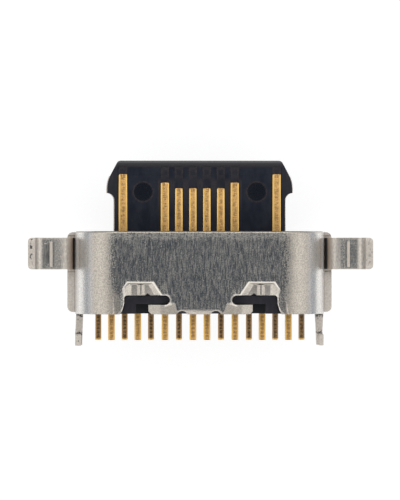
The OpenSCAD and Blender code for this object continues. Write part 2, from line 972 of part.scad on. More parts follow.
module plate_body() {
  raised(mid_z - plate_half, mid_z + plate_half)
    intersection() {
      union() {
        tongue_plan(plate_proud);
        field([-neck_half - plate_proud, -plate_rear], [neck_half + plate_proud, 0]);
      }
      field([-shell_w, -plate_rear], [shell_w, plate_front]);
    }
}

module stiffener_plate() {
  color("silver")
    plate_body();
}

module ground_pad() {
  pad_z = mid_z + root_rise + pad_t * half_share;
  pad_y = pad_t * half_share - base_front;
  across(-pad_half, pad_half)
    strip([[pad_front, pad_z], [pad_y, pad_z], [pad_y, pad_z + pad_flange]], pad_t);
}

module upper_ground_pad() {
  color("silver")
    ground_pad();
}

module lower_ground_pad() {
  color("silver")
    translate([0, 0, mid_z])
      mirror(up_axis)
        translate([0, 0, -mid_z])
          ground_pad();
}

// Contact on the right, from its dipped front end to its solder tail
module contact(i, level, dip_way, tail_x, tail_w, rise_end) {
  place = places[i];
  width = contact_ws[i];
  front = tip_y - contact_steps[i];
  side = width * half_share;
  tail_side = tail_w * half_share;
  mid_x = place + (tail_x - place) * mid_shares[i];
  across(place - side, place + side)
    strip([[front, level - dip * dip_way], [front - dip, level], [-fan_start, level]], contact_t);
  raised(level - contact_t * half_share, level + contact_t * half_share)
    polygon([
      [place - side, -fan_start],
      [place + side, -fan_start],
      [mid_x + side, -fan_mid],
      [tail_x + tail_side, -fan_end],
      [tail_x + tail_side, -fan_end - contact_t * half_share],
      [tail_x - tail_side, -fan_end - contact_t * half_share],
      [tail_x - tail_side, -fan_end],
      [mid_x - side, -fan_mid]
    ]);
  across(tail_x - tail_side, tail_x + tail_side)
    strip([
      [-fan_end, level],
      [-fan_end - contact_t * half_share, level],
      [-rise_end, tail_z],
      [-tail_rear, tail_z]
    ], contact_t);
}

module upper_contact(i) {
  tail_x = upper_inner_shares[i] * contact_pitch + upper_outer_shares[i] * outer_pitch;
  contact(i, mid_z + contact_rise, upward, tail_x, upper_tail_w, fan_end + upper_rise);
}

module lower_contact(i) {
  tail_x = lower_inner_shares[i] * contact_pitch + lower_outer_shares[i] * outer_pitch;
  contact(i, mid_z - contact_rise, downward, tail_x, lower_tail_w, fan_end + lower_rise);
}

module all_contacts() {
  both_sides()
    for (i = [inner_signal : ground]) {
      upper_contact(i);
      lower_contact(i);
    }
}

module right_upper(i) {
  color("gold")
    upper_contact(i);
}

module left_upper(i) {
  color("gold")
    mirror(side_axis)
      upper_contact(i);
}

module right_lower(i) {
  color("gold")
    lower_contact(i);
}

module left_lower(i) {
  color("gold")
    mirror(side_axis)
      lower_contact(i);
}

front_shell();
outer_bracket();
insulator_body();
upper_carrier();
lower_carrier();
stiffener_plate();
upper_ground_pad();
lower_ground_pad();
left_upper(ground);  // upper_ground_left
left_upper(power);  // upper_power_left
left_upper(outer_signal);  // upper_signal_1
left_upper(inner_signal);  // upper_signal_2
right_upper(inner_signal);  // upper_signal_3
right_upper(outer_signal);  // upper_signal_4
right_upper(power);  // upper_power_right
right_upper(ground);  // upper_ground_right
left_lower(ground);  // lower_ground_left
left_lower(power);  // lower_power_left
left_lower(outer_signal);  // lower_signal_1
left_lower(inner_signal);  // lower_signal_2
right_lower(inner_signal);  // lower_signal_3
right_lower(outer_signal);  // lower_signal_4
right_lower(power);  // lower_power_right
right_lower(ground);  // lower_ground_right
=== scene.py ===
"""Looks of the charging port: bevelled metal and plastic pieces, their materials, the light tent and the camera."""

import math

import bmesh
import bpy
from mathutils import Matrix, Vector
from mathutils.bvhtree import BVHTree
from mathutils.kdtree import KDTree


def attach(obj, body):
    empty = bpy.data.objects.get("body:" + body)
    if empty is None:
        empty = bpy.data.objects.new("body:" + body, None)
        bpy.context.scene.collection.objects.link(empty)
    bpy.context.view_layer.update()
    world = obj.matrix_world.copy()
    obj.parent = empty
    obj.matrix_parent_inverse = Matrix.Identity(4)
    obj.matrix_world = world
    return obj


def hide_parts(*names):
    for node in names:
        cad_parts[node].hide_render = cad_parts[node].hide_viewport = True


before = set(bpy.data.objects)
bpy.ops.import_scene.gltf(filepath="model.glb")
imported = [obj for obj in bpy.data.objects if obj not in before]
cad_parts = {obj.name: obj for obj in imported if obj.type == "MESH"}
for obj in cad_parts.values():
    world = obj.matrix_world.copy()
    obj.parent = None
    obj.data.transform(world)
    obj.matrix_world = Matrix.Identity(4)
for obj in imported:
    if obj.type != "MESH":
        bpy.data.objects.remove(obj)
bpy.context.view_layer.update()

MM = 0.001

# Camera, as far from the object and as tilted as the photograph's
IMAGE_W, IMAGE_H = 400, 500
PX_PER_MM = 27.88
CAMERA_AWAY = 120 * MM
CAMERA_TILT = math.radians(1.85)
LOOK_AT = Vector((0.016, 0.1, 1.83)) * MM
SENSOR = 36.0

CONTACT_NAMES = ["ground_left", "power_left", "signal_1", "signal_2", "signal_3", "signal_4", "power_right", "ground_right"]


# ---------------------------------------------------------------- material kit

class Kit:
    """Short calls for the nodes of one material. Lengths in it are in millimetres."""

    def __init__(self, name):
        self.material = bpy.data.materials.new(name)
        self.material.use_nodes = True
        self.tree = self.material.node_tree
        self.shader = self.tree.nodes["Principled BSDF"]
        self._point = None

    def add(self, kind, **values):
        node = self.tree.nodes.new(kind)
        for key, value in values.items():
            setattr(node, key, value)
        return node

    def join(self, value, socket):
        if isinstance(value, bpy.types.NodeSocket):
            self.tree.links.new(value, socket)
        else:
            socket.default_value = value

    def point(self):
        """Place on the object, in millimetres."""
        if self._point is None:
            place = self.add("ShaderNodeTexCoord").outputs["Object"]
            self._point = self.vector("MULTIPLY", place, (1 / MM,) * 3)
        return self._point

    def vector(self, operation, a, b=None):
        node = self.add("ShaderNodeVectorMath", operation=operation)
        self.join(a, node.inputs[0])
        if b is not None:
            self.join(b, node.inputs[1])
        return node.outputs["Value" if operation == "LENGTH" else "Vector"]

    def stretched(self, x, y, z):
        return self.vector("MULTIPLY", self.point(), (x, y, z))

    def xyz(self, value=None):
        node = self.add("ShaderNodeSeparateXYZ")
        self.join(self.point() if value is None else value, node.inputs[0])
        return node.outputs

    def normal(self):
        return self.xyz(self.add("ShaderNodeNewGeometry").outputs["Normal"])

    def math(self, operation, a, b=0.0, clamp=False):
        node = self.add("ShaderNodeMath", operation=operation, use_clamp=clamp)
        self.join(a, node.inputs[0])
        self.join(b, node.inputs[1])
        return node.outputs[0]

    def noise(self, at, scale=1.0, detail=2.0, rough=0.5):
        node = self.add("ShaderNodeTexNoise")
        self.join(at, node.inputs["Vector"])
        node.inputs["Scale"].default_value = scale
        node.inputs["Detail"].default_value = detail
        node.inputs["Roughness"].default_value = rough
        return node.outputs["Fac"]

    def cells(self, at, scale=1.0, feature="F1", output="Distance"):
        node = self.add("ShaderNodeTexVoronoi", feature=feature)
        self.join(at, node.inputs["Vector"])
        node.inputs["Scale"].default_value = scale
        return node.outputs[output]

    def span(self, value, low, high, to_low=0.0, to_high=1.0, smooth=True):
        node = self.add("ShaderNodeMapRange", interpolation_type="SMOOTHSTEP" if smooth else "LINEAR")
        self.join(value, node.inputs["Value"])
        for key, number in (("From Min", low), ("From Max", high), ("To Min", to_low), ("To Max", to_high)):
            self.join(number, node.inputs[key])
        return node.outputs[0]

    def mix(self, share, a, b):
        node = self.add("ShaderNodeMix", data_type="RGBA")
        self.join(share, node.inputs[0])
        self.join(a, node.inputs[6])
        self.join(b, node.inputs[7])
        return node.outputs[2]

    def bump(self, height, strength=1.0):
        """Height in millimetres."""
        node = self.add("ShaderNodeBump")
        node.inputs["Distance"].default_value = MM
        node.inputs["Strength"].default_value = strength
        self.join(height, node.inputs["Height"])
        self.tree.links.new(node.outputs[0], self.shader.inputs["Normal"])

    def set(self, **values):
        for key, value in values.items():
            self.join(value, self.shader.inputs[key.replace("_", " ").title().replace("Ior", "IOR")])


def grey(level, warm=0.0):
    return (level * (1 + warm), level, level * (1 - warm), 1)


def steel(name):
    """Drawn sheet: a smooth flat face with fine streaks along Y, and grainy bends, dents and slopes. Painted highlights
    brighten the rolled rims and a dent's rim; painted shade darkens the middle towards the rear and stands in for a
    nick at the slot's edge.
    """
    k = Kit(name)
    x, y, z = k.xyz()
    across = k.math("ABSOLUTE", x)
    streaks = k.noise(k.stretched(38, 3.6, 38), 1.0, 2.0, 0.65)
    grain = k.noise(k.point(), 24.0, 2.0, 0.6)
    cloud = k.noise(k.point(), 1.6, 2.0, 0.5)
    flecks = k.span(k.cells(k.stretched(14, 8, 14), 1.0), 0.1, 0.3, 1.0, 0.0)
    flecks = k.math("MULTIPLY", flecks, k.span(k.noise(k.point(), 7.0, 1.0), 0.46, 0.6))
    both = k.math("ADD", k.math("MULTIPLY", streaks, 0.6), k.math("MULTIPLY", grain, 0.4))
    tone = k.math("ADD", k.math("ADD", both, k.math("MULTIPLY", cloud, 0.06)), k.span(y, 0.4, 0.62, 0.0, 0.05))
    tone = k.math("ADD", k.span(tone, 0.435, 0.645, 0.0, 0.87), k.math("MULTIPLY", flecks, 0.7))
    lying = k.span(k.noise(k.stretched(9, 26, 9), 1.0, 2.0, 0.6), 0.46, 0.62)
    tone = k.math("ADD", tone, k.math("MULTIPLY", k.math("MULTIPLY", lying, 0.8), k.span(y, 0.38, 0.6)))
    wavy = k.math("ADD", k.math("ABSOLUTE", k.math("ADD", x, 0.06)), k.math("MULTIPLY", k.math("SUBTRACT", grain, 0.5), 0.4))
    wavy = k.math("ADD", wavy, k.math("MULTIPLY", k.span(y, -1.9, -0.8, 1.0, 0.0), k.span(x, -1.0, 1.0, 0.4, 0.14)))
    floor_z = k.span(across, 2.89, 3.4, 3.4, 3.3, smooth=False)
    flat = k.math("MULTIPLY", k.span(wavy, 2.86, 3.38, 1.0, 0.0), k.span(k.math("SUBTRACT", z, floor_z), -0.006, 0.008))
    root = k.math("SUBTRACT", k.math("MULTIPLY", k.math("SUBTRACT", across, 0.82), 0.956), k.math("MULTIPLY", k.math("ADD", y, 2.09), 0.293))
    root = k.math("MULTIPLY", k.span(k.math("ADD", root, k.math("MULTIPLY", grain, 0.06)), 0.01, 0.06), k.span(across, 1.4, 1.5, 1.0, 0.0))
    root = k.math("MULTIPLY", root, k.span(y, -1.82, -1.72, 1.0, 0.0))
    root = k.math("MAXIMUM", root, k.math("MULTIPLY", k.span(y, -2.11, -2.07, 1.0, 0.0), k.math("MULTIPLY", k.span(across, 0.6, 0.7), k.span(across, 1.4, 1.5, 1.0, 0.0))))
    flat = k.math("MULTIPLY", flat, k.math("SUBTRACT", 1.0, root))
    round_end = plane_point(k, k.math("MAXIMUM", k.math("SUBTRACT", 1.267, across), 0.0), k.math("ADD", y, 1.677))
    round_end = k.span(k.vector("LENGTH", round_end), 0.2, 0.25, 1.0, 0.0)
    round_end = k.math("MULTIPLY", round_end, k.span(across, 1.34, 1.4, 1.0, 0.0))
    outside = k.math("SUBTRACT", across, k.span(y, -2.19, -1.84, 2.88, 2.72))
    outside = k.span(k.math("SUBTRACT", outside, k.span(y, -2.18, -2.06, 0.08, 0.03)), 0.0, 0.03, 1.0, 0.0)
    outside = k.math("MULTIPLY", outside, k.math("MULTIPLY", k.span(y, -1.7, -1.64, 1.0, 0.0), k.span(across, 2.6, 2.65)))
    rolled = k.math("MULTIPLY", k.math("MAXIMUM", round_end, outside), k.span(z, 3.36, 3.38))
    flat = k.math("MULTIPLY", flat, k.math("SUBTRACT", 1.0, rolled))
    drawn = k.mix(tone, (0.26, 0.295, 0.325, 1), (1.0, 0.975, 0.915, 1))
    plain = k.mix(k.span(grain, 0.34, 0.66), (0.4, 0.385, 0.365, 1), (0.66, 0.63, 0.59, 1))
    pressed = k.math("MULTIPLY", k.span(across, 2.83, 2.9, 1.0, 0.0), k.span(y, -0.8, -0.7, 1.0, 0.0))
    plain = k.mix(pressed, plain, k.mix(k.span(grain, 0.3, 0.7), (0.5, 0.48, 0.452, 1), (0.69, 0.672, 0.645, 1)))
    rim = k.math("MULTIPLY", k.math("MULTIPLY", pressed, k.span(y, -1.88, -1.82)), k.math("MULTIPLY", k.span(z, 3.355, 3.375), k.span(across, 1.0, 1.05)))
    shade = k.math("MULTIPLY", k.span(y, -1.9, -1.8, 0.12, 0.0), k.span(across, 2.6, 2.7, 1.0, 0.0))
    plain = k.mix(shade, plain, (0, 0, 0, 1))
    # painted highlight: the dent's rim near the top face gets a near-white colour
    plain = k.mix(rim, plain, k.mix(grain, (0.72, 0.7, 0.67, 1), (1.0, 0.98, 0.95, 1)))
    # The rolled rims are rounded in the mesh; their near-white colour is a painted highlight.
    plain = k.mix(rolled, plain, k.mix(grain, (0.9, 0.87, 0.84, 1), (1.0, 0.98, 0.95, 1)))
    plain = k.mix(k.span(across, 3.75, 4.0), plain, k.mix(k.span(grain, 0.34, 0.66), (0.62, 0.63, 0.645, 1), (0.82, 0.82, 0.82, 1)))
    # painted shade: a nearly black triangle at the slot's edge stands in for the shade of a nick
    nick_shade = k.math("ADD", k.math("DIVIDE", k.math("ADD", y, 1.53), 0.1), k.math("DIVIDE", k.math("ABSOLUTE", k.math("SUBTRACT", across, 1.885)), 0.13))
    nick_shade = k.math("MULTIPLY", k.span(nick_shade, 0.85, 1.15, 1.0, 0.0), k.span(y, -1.36, -1.34, 1.0, 0.0))
    nick_shade = k.math("MULTIPLY", nick_shade, k.span(y, -1.6, -1.56))
    tone_out = k.mix(nick_shade, k.mix(flat, plain, drawn), (0.04, 0.04, 0.045, 1))
    k.set(base_color=k.mix(k.span(y, 0.715, 0.735, 0.0, 0.6), tone_out, (0.12, 0.1, 0.085, 1)))
    k.set(metallic=k.span(across, 4.26, 4.4, 1.0, 0.3))
    smooth = k.math("MULTIPLY", flat, k.span(tone, 0.0, 1.2, -0.26, -0.08, smooth=False))
    satin = k.span(across, 3.75, 4.0, 0.38, 0.24)
    k.set(roughness=k.math("ADD", k.math("ADD", smooth, satin), k.math("MULTIPLY", root, 0.34)))
    loose = k.math("SUBTRACT", 1.0, flat)
    k.bump(k.math("ADD", k.math("MULTIPLY", both, 0.0025), k.math("MULTIPLY", loose, k.math("MULTIPLY", grain, 0.0045))))
    return k.material


def cut_steel(name, level, rough, relief, torn=0.0):
    """Sheared face of the sheet: matte and warm. A torn one is pitted along its middle and jagged at some places, with
    painted shade at the top of the rear legs and where their arms meet the risers.
    """
    k = Kit(name)
    x, y, z = k.xyz()
    grain = k.noise(k.point(), 17.0, 3.0, 0.65)
    pale = k.mix(k.span(grain, 0.3, 0.7), grey(level * 0.8, 0.05), grey(level, 0.03))
    if torn:
        pits = k.math("MULTIPLY", k.span(k.cells(k.stretched(11, 7, 11)), 0.12, 0.3, 1.0, 0.0), k.span(k.noise(k.point(), 5.0, 1.0), 0.48, 0.56))
        across = k.math("ABSOLUTE", x)
        jag = k.math("MULTIPLY", k.math("SUBTRACT", k.noise(k.stretched(14, 5, 14), 1.0, 2.0), 0.5), 0.2)
        middle = k.span(k.math("ABSOLUTE", k.math("ADD", k.math("SUBTRACT", across, 6.0), jag)), 0.025, 0.05, 1.0, 0.0)
        middle = k.math("MULTIPLY", middle, k.span(k.noise(k.point(), 6.0, 1.0), 0.47, 0.57))
        middle = k.math("MULTIPLY", middle, k.span(x, -1.0, 1.0, 0.9, 0.3))
        # painted shade, jagged: dark bands at the top of the rear legs under the shell's edge and where their arms meet
        # the risers
        root = k.span(k.math("ADD", y, jag), -2.3, -2.26)
        riser_shade = k.span(k.math("ABSOLUTE", k.math("ADD", k.math("ADD", y, 2.86), jag)), 0.02, 0.05, 1.0, 0.0)
        leg_shade = k.math("MULTIPLY", k.math("MAXIMUM", root, riser_shade), k.math("MULTIPLY", k.span(y, -2.16, -2.2), k.span(grain, 0.4, 0.55)))
        marks = k.math("MAXIMUM", k.math("MULTIPLY", pits, 0.7), k.math("MAXIMUM", middle, leg_shade))
        pale = k.mix(marks, pale, (0.05, 0.055, 0.06, 1))
    k.set(metallic=0.85, base_color=pale, roughness=rough)
    k.bump(k.math("MULTIPLY", grain, relief))
    return k.material


def boxed(k, across, y, x0, x1, y0, y1, soft=0.02):
    """1 inside a field of both wings, seen from above."""
    width = k.math("MULTIPLY", k.span(across, x0 - soft, x0 + soft), k.span(across, x1 - soft, x1 + soft, 1.0, 0.0))
    length = k.math("MULTIPLY", k.span(y, y0 - soft, y0 + soft), k.span(y, y1 - soft, y1 + soft, 1.0, 0.0))
    return k.math("MULTIPLY", width, length)


def bracket_steel(name):
    """Sheet of the bracket: mottled on the wings, with a dark coined field and a light ridge with painted shade beside
    it, a painted brown reflection on the bend by the shell and painted shade in the crease against the shell.
    """
    k = Kit(name)
    x, y, z = k.xyz()
    across = k.math("ABSOLUTE", x)
    grain = k.noise(k.point(), 20.0, 2.0, 0.6)
    fine = k.noise(k.stretched(20, 9, 20), 1.0, 2.0, 0.55)
    left = k.span(x, -1.0, 1.0, 1.0, 0.0)
    lines = k.noise(k.stretched(30, 3, 30), 1.0, 2.0, 0.6)
    on_top = k.span(z, 2.33, 2.37)
    on_top = k.math("MULTIPLY", on_top, k.span(z, 2.5, 2.6, 1.0, 0.0))
    frame_mask = boxed(k, across, y, 5.19, 5.62, -0.54, 0.47)
    speckled = k.math("MAXIMUM", frame_mask, boxed(k, across, y, 4.96, 5.2, -0.56, 0.5, 0.05))
    speckled = k.math("MULTIPLY", speckled, k.math("MAXIMUM", left, k.span(across, 5.0, 5.06)))
    mottle = k.math("MULTIPLY", k.span(grain, 0.45, 0.54), k.math("MULTIPLY", speckled, on_top))
    coined = k.math("MULTIPLY", boxed(k, across, y, 5.37, 5.6, -0.395, 0.31), on_top)
    ridge = k.math("MULTIPLY", boxed(k, across, y, 5.26, 5.36, -0.5, 0.4), on_top)
    edges = k.math("MULTIPLY", boxed(k, across, y, 5.36, 5.62, -0.44, 0.36), on_top)
    tone = k.mix(k.span(fine, 0.35, 0.65), (0.6, 0.58, 0.56, 1), (0.76, 0.74, 0.71, 1))
    tone = k.mix(k.math("MULTIPLY", frame_mask, k.math("MULTIPLY", on_top, 0.4)), tone, (0.4, 0.415, 0.43, 1))
    tone = k.mix(k.math("MULTIPLY", edges, k.math("MULTIPLY", left, 0.8)), tone, (0.8, 0.76, 0.72, 1))
    tone = k.mix(k.math("MULTIPLY", coined, k.span(left, 0.0, 1.0, 0.45, 1.0)), tone, k.mix(k.span(lines, 0.35, 0.65), (0.2, 0.215, 0.23, 1), (0.44, 0.44, 0.44, 1)))
    mottle = k.math("MULTIPLY", mottle, k.math("SUBTRACT", 1.0, k.math("MULTIPLY", coined, left)))
    softer = k.math("SUBTRACT", 1.0, k.math("MULTIPLY", left, k.span(across, 5.18, 5.26, 0.5, 0.0)))
    tone = k.mix(k.math("MULTIPLY", mottle, softer), tone, (0.3, 0.325, 0.345, 1))
    # painted shade on the wing beside the pale ridge
    ridge_shade = k.math("MULTIPLY", boxed(k, across, y, 5.19, 5.4, -0.48, 0.38), on_top)
    tone = k.mix(k.math("MULTIPLY", ridge_shade, 0.45), tone, (0.2, 0.21, 0.22, 1))
    tone = k.mix(ridge, tone, (0.82, 0.785, 0.75, 1))
    # painted reflection: the wing's bend by the shell is coloured brown, as if lit by light bounced off the shell
    bend_reflection = k.math("MULTIPLY", k.span(across, 4.56, 4.82, 1.0, 0.0), k.span(z, 1.9, 2.0))
    tone = k.mix(bend_reflection, tone, (0.5, 0.41, 0.33, 1))
    # painted shade: dark colour in the crease between the wing's bend and the shell
    crease_shade = k.math("SUBTRACT", across, k.span(x, -1.0, 1.0, 0.0, 0.03))
    crease_shade = k.math("MULTIPLY", k.span(crease_shade, 4.53, 4.55, 1.0, 0.0), k.span(z, 1.95, 2.0))
    tone = k.mix(crease_shade, tone, (0.1, 0.1, 0.11, 1))
    k.set(metallic=1.0, base_color=tone, roughness=k.math("ADD", 0.46, k.math("MULTIPLY", ridge, 0.3)))
    k.bump(k.math("MULTIPLY", k.math("ADD", fine, grain), 0.0016))
    return k.material


def plane_point(k, x, y):
    node = k.add("ShaderNodeCombineXYZ")
    k.join(x, node.inputs[0])
    k.join(y, node.inputs[1])
    return node.outputs[0]


def plastic(name):
    """Moulded plastic of the tongue: lanes in front of the contacts, darker round marks, fine rusty specks."""
    k = Kit(name)
    x, y, z = k.xyz()
    across = k.math("ABSOLUTE", x)
    fine = k.noise(k.point(), 24.0, 2.0, 0.6)
    broad = k.noise(k.stretched(2.5, 1.2, 2.5), 1.0, 3.0, 0.6)
    lane = k.math("ABSOLUTE", k.math("SUBTRACT", k.math("MODULO", across, 0.5), 0.25))
    ridge = k.math("MULTIPLY", k.span(lane, 0.12, 0.17), k.span(across, 1.47, 1.53, 1.0, 0.0))
    ridge = k.math("MULTIPLY", ridge, k.math("MULTIPLY", k.span(y, 1.2, 2.3, 0.2, 1.0), k.span(y, 2.5, 2.75, 1.0, 0.0)))
    served = k.math("MAXIMUM", k.span(across, 1.42, 1.46, 1.0, 0.0), k.span(across, 2.5, 2.55))
    strip = k.math("MULTIPLY", k.math("MULTIPLY", k.span(lane, 0.12, 0.16, 1.0, 0.0), served), k.span(y, 2.55, 2.85, 0.3, 1.0))
    pocket = k.math("MULTIPLY", k.span(lane, 0.07, 0.1, 1.0, 0.0), k.math("MULTIPLY", k.span(y, 2.76, 2.8), k.span(y, 2.95, 2.99, 1.0, 0.0)))
    ridge = k.math("MAXIMUM", ridge, k.math("MULTIPLY", strip, k.math("SUBTRACT", 1.0, k.math("MULTIPLY", pocket, 0.6))))
    edge = k.math("MULTIPLY", k.span(lane, 0.1, 0.13), k.span(lane, 0.13, 0.16, 1.0, 0.0))
    edge = k.math("MULTIPLY", edge, k.math("MULTIPLY", served, k.span(y, 2.4, 2.7, 0.0, 0.6)))
    from_mark = k.vector("LENGTH", k.vector("SUBTRACT", plane_point(k, across, y), (2.03, 2.18, 0)))
    disc = k.span(from_mark, 0.3, 0.34, 1.0, 0.0)
    ring = k.math("MULTIPLY", k.span(from_mark, 0.32, 0.35), k.span(from_mark, 0.36, 0.41, 1.0, 0.0))
    specks = k.math("MULTIPLY", k.span(k.cells(k.point(), 13.0), 0.05, 0.2, 1.0, 0.0), k.span(broad, 0.48, 0.54))
    rust = k.math("MAXIMUM", specks, k.math("MULTIPLY", k.math("MAXIMUM", ring, edge), k.span(fine, 0.35, 0.6)))
    tone = k.mix(k.span(broad, 0.33, 0.67), (0.003, 0.0072, 0.0195, 1), (0.0135, 0.019, 0.034, 1))
    tone = k.mix(k.math("MULTIPLY", ridge, k.span(fine, 0.3, 0.7, 0.5, 1.0)), tone, (0.034, 0.031, 0.038, 1))
    tone = k.mix(disc, tone, (0.003, 0.006, 0.014, 1))
    tone = k.mix(k.span(across, 2.92, 2.98, 0.0, 0.4), tone, (0.034, 0.035, 0.041, 1))
    behind = k.span(y, -1.1, -1.0, 1.0, 0.0)
    tone = k.mix(k.math("MULTIPLY", behind, k.span(z, 2.85, 2.9)), tone, k.mix(k.span(broad, 0.3, 0.7), (0.012, 0.014, 0.022, 1), (0.022, 0.022, 0.031, 1)))
    tone = k.mix(k.math("MULTIPLY", behind, k.span(z, 2.85, 2.9, 1.0, 0.0)), tone, (0.002, 0.005, 0.011, 1))
    tone = k.mix(k.math("MULTIPLY", rust, 0.4), tone, (0.085, 0.055, 0.043, 1))
    tone = k.mix(k.span(y, 3.04, 3.1), tone, k.mix(fine, (0.014, 0.0165, 0.026, 1), (0.035, 0.033, 0.039, 1)))
    tone = k.mix(k.math("MULTIPLY", k.span(y, 3.205, 3.22), k.span(y, 3.26, 3.275, 1.0, 0.0)), tone, (0.07, 0.073, 0.088, 1))
    k.set(base_color=tone, roughness=k.math("SUBTRACT", k.span(fine, 0.3, 0.7, 0.38, 0.48), k.math("MULTIPLY", disc, 0.14)))
    k.set(specular_ior_level=0.34)
    k.bump(k.math("MULTIPLY", fine, 0.0014))
    return k.material


def gold(name, rim, light, dark, lip):
    """Plated strip: smooth bright rims, a pitted brown middle, a worn front end and a bright lip at its cut end, a
    painted highlight.
    """
    k = Kit(name)
    place = k.add("ShaderNodeTexCoord").outputs["UV"]
    u, v, w = k.xyz(place)
    x, y, z = k.xyz()
    aside = k.math("ABSOLUTE", u)
    pits = k.noise(k.stretched(13, 8, 13), 1.0, 3.0, 0.65)
    ticks = k.noise(k.stretched(8, 30, 8), 1.0, 2.0, 0.6)
    scores = k.noise(k.stretched(30, 3, 30), 1.0, 1.0)
    front = k.math("MULTIPLY", k.span(v, 0.08, 0.26, 1.0, 0.0), k.span(y, 0.0, 0.1))
    wander = k.math("ADD", k.math("MULTIPLY", k.math("SUBTRACT", pits, 0.5), 0.5), k.math("MULTIPLY", front, -0.22))
    middle = k.span(k.math("ADD", aside, wander), 0.42, 0.62, 1.0, 0.0)
    middle = k.math("MULTIPLY", middle, k.math("MAXIMUM", k.span(v, 0.02, 0.05), k.span(y, 0.0, 0.1, 1.0, 0.0)))
    tail = k.span(y, -2.2, -2.1, 1.0, 0.0)
    rungs = k.math("SINE", k.math("MULTIPLY", y, 46.0))
    grid = k.math("MULTIPLY", tail, k.span(rungs, -0.5, 0.9, 0.0, 0.1))
    rough = k.math("ADD", k.math("MULTIPLY", pits, 0.5), k.math("MULTIPLY", ticks, 0.5))
    worn = k.math("MULTIPLY", front, k.span(scores, 0.4, 0.6, 0.0, 0.3))
    deep = k.span(k.math("ADD", k.math("ADD", rough, grid), worn), 0.43, 0.6)
    # painted highlight: a bright gold lip at the tail's cut end
    ends = k.math("MULTIPLY", k.span(y, -3.08, -3.04, 1.0, 0.0), lip)
    tone = k.mix(middle, rim, k.mix(deep, light, dark))
    tone = k.mix(k.math("MULTIPLY", tail, 0.0 if lip else 0.22), tone, (0.1, 0.05, 0.02, 1))
    tone = k.mix(ends, tone, (0.98, 0.66, 0.27, 1))
    k.set(metallic=1.0, base_color=tone, roughness=k.span(middle, 0.0, 1.0, 0.36, 0.55))
    k.bump(k.math("MULTIPLY", k.math("MULTIPLY", rough, middle), 0.006))
    return k.material


STEEL = steel("drawn_steel")
BRACKET = bracket_steel("bracket_steel")
CUT = cut_steel("cut_steel", 0.8, 0.64, 0.004)
TORN = cut_steel("torn_steel", 0.76, 0.62, 0.006, 1.0)
PLATE = cut_steel("plate_steel", 0.95, 0.8, 0.001)
BODY = plastic("body_plastic")
GOLD = gold("contact_gold", (1.0, 0.66, 0.22, 1), (1.0, 0.66, 0.28, 1), (0.56, 0.35, 0.15, 1), 0.0)
# painted shade: the lower row's contacts are a darker copy of the contact gold
SHADED_GOLD = gold("shaded_tail_gold", (0.37, 0.24, 0.12, 1), (0.36, 0.235, 0.12, 1), (0.12, 0.082, 0.048, 1), 1.0)


# ---------------------------------------------------------------- pieces

SHARP = math.radians(26)
CREASE = math.radians(35)
TOP_Z = 3.41
WALL_X = 4.49
TIP_ROUND = 0.14


def sliced(bm, axis, places):
    """Extra edges round the whole piece, where it crosses some places on an axis."""
    for place in places:
        spot, way = [0, 0, 0], [0, 0, 0]
        spot[axis], way[axis] = place * MM, 1
        bmesh.ops.bisect_plane(bm, geom=bm.faces[:] + bm.edges[:] + bm.verts[:], dist=0.0005 * MM, plane_co=spot, plane_no=way)


def welded(node, cuts=()):
    bm = bmesh.new()
    bm.from_mesh(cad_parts[node].data)
    bmesh.ops.remove_doubles(bm, verts=bm.verts, dist=0.0003 * MM)
    bmesh.ops.dissolve_limit(bm, angle_limit=math.radians(0.6), verts=bm.verts, edges=bm.edges)
    for axis, places in cuts:
        sliced(bm, axis, places)
    bm.normal_update()
    return bm


def bevelled(bm, widths, widest):
    """One try: each edge rounded by its own width in millimetres."""
    layer = bm.edges.layers.float.get("bevel_weight_edge") or bm.edges.layers.float.new("bevel_weight_edge")
    for edge in bm.edges:
        edge[layer] = widths.get(edge.index, 0.0) / widest
    mesh = bpy.data.meshes.new("try")
    bm.to_mesh(mesh)
    piece = bpy.data.objects.new("try", mesh)
    bpy.context.scene.collection.objects.link(piece)
    bevel = piece.modifiers.new("edges", "BEVEL")
    bevel.limit_method = "WEIGHT"
    bevel.width = widest * MM
    bevel.segments = 3
    bevel.use_clamp_overlap = False
    bevel.miter_outer = "MITER_SHARP"
    shape = bpy.data.meshes.new_from_object(piece.evaluated_get(bpy.context.evaluated_depsgraph_get()))
    bpy.data.objects.remove(piece)
    bpy.data.meshes.remove(mesh)
    return shape


def rounded(bm, width_of):
    """Rounds the sharp edges, less and then not at all where a rounding would fold or stick out."""
    bm.edges.index_update()
    bm.edges.ensure_lookup_table()
    tree = BVHTree.FromBMesh(bm)
    widths = {}
    for edge in bm.edges:
        if len(edge.link_faces) == 2 and edge.calc_face_angle(0) > SHARP:
            widths[edge.index] = width_of(edge)
    widest = max(widths.values())
    for attempt in range(10):
        shape = bevelled(bm, widths, widest)
        shape.calc_loop_triangles()
        limit = 0.55 * widest * MM
        bad = []
        for triangle in shape.loop_triangles:
            corners = [shape.vertices[i].co for i in triangle.vertices]
            middle = (corners[0] + corners[1] + corners[2]) / 3
            spot, normal, index, distance = tree.find_nearest(middle)
            spots = [middle] + corners
            turned = triangle.area > 1e-12 and triangle.normal.dot(normal) < -0.2
            if turned or max(tree.find_nearest(place)[3] for place in spots) > limit:
                bad.extend(corners)
        if not bad:
            break
        near = KDTree(len(bad))
        for i, corner in enumerate(bad):
            near.insert(corner, i)
        near.balance()
        for index in list(widths):
            edge = bm.edges[index]
            if min(near.find(end.co)[2] for end in edge.verts) < 0.04 * MM:
                widths[index] *= 0.5
                if widths[index] < 0.006:
                    del widths[index]
    return shape


def span_of(points):
    return (min(points) + max(points)) / 2, (max(points) - min(points)) / 2


